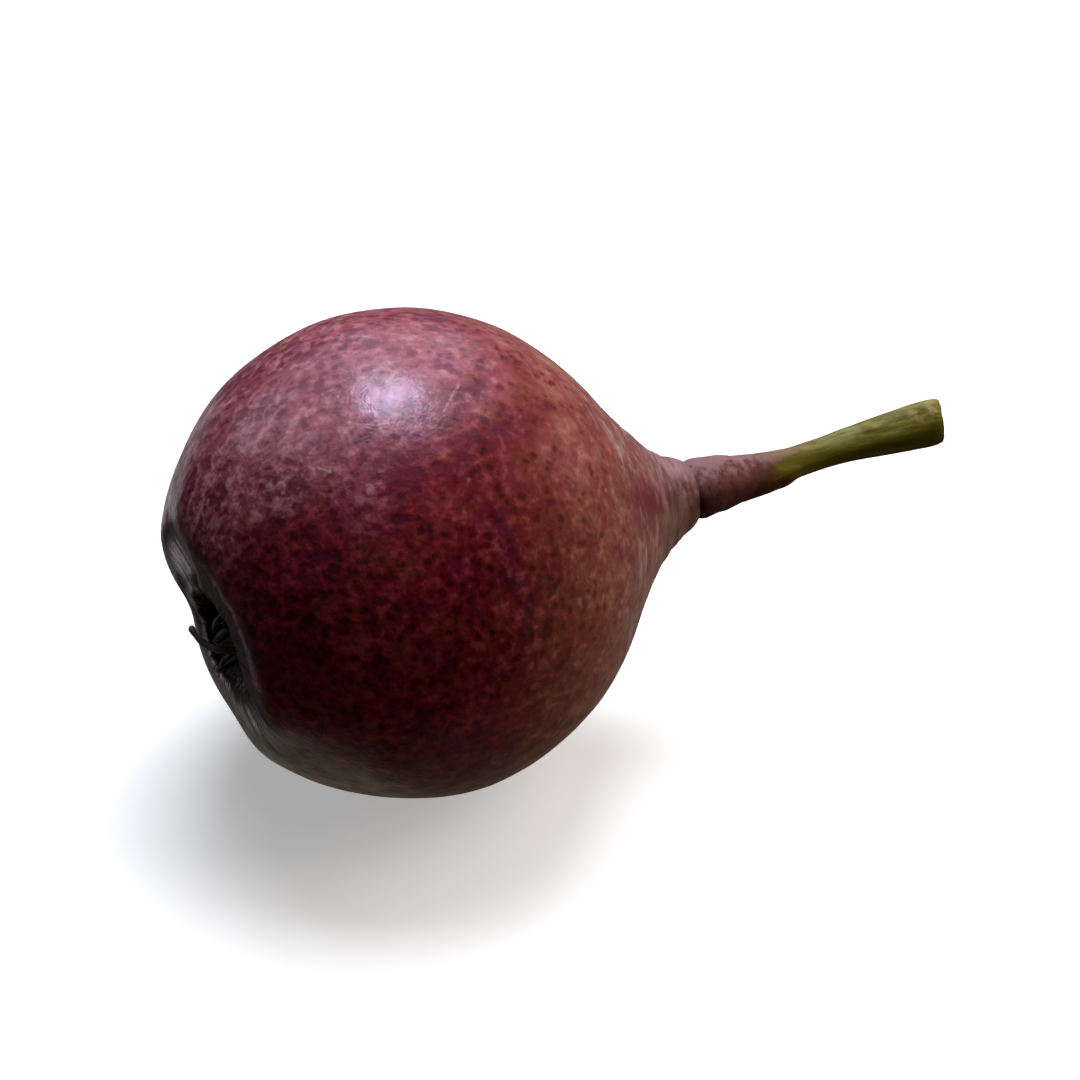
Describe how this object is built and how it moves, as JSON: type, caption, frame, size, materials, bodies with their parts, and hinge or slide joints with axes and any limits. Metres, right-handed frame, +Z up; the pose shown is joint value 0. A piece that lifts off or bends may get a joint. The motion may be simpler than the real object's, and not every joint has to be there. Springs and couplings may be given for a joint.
{
  "type": "pear",
  "caption": "Small round red pear lying on its side, with a short wrinkled neck, a woody stalk and a dried calyx in the dimple at its blossom end.",
  "frame": {"origin": "middle of the flat spot on the belly that the pear rests on", "axes": "+X along the fruit from the blossom end to the stalk, +Z up"},
  "size_m": [0.103, 0.0597, 0.0597],
  "materials": {
    "skin": "waxy satin, mottled",
    "stalk": "matte, grooved",
    "calyx": "dry, matte"
  },
  "bodies": {
    "root": {"fruit": "skin", "stalk": "stalk", "calyx": "calyx"}
  },
  "joints": []
}
